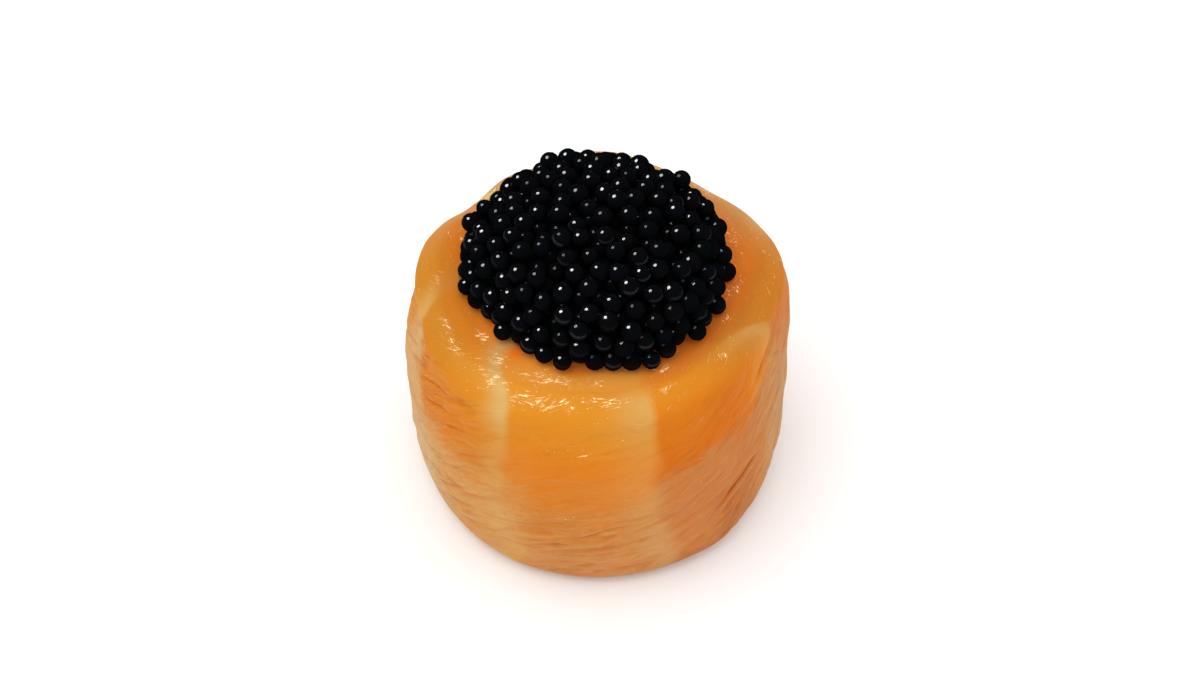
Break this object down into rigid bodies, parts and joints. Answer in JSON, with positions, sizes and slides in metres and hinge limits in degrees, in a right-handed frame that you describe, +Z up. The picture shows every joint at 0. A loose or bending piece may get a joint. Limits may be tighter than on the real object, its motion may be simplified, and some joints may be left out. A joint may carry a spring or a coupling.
{
  "type": "gunkan sushi",
  "caption": "Round gunkan sushi: a squat drum of wrapped raw salmon with a shallow dish on top, filled with a glossy heap of small black fish roe.",
  "frame": {"origin": "middle of the flat underside", "axes": "+Z up out of the roe, -Y towards the front, +X to the right seen from the front"},
  "size_m": [0.0422, 0.043, 0.0369],
  "materials": {
    "salmon": "moist raw salmon, orange with pale bands of fat",
    "roe": "wet, near-black fish eggs"
  },
  "bodies": {
    "root": {"salmon_wrap": "salmon", "black_roe": "roe"}
  },
  "joints": []
}
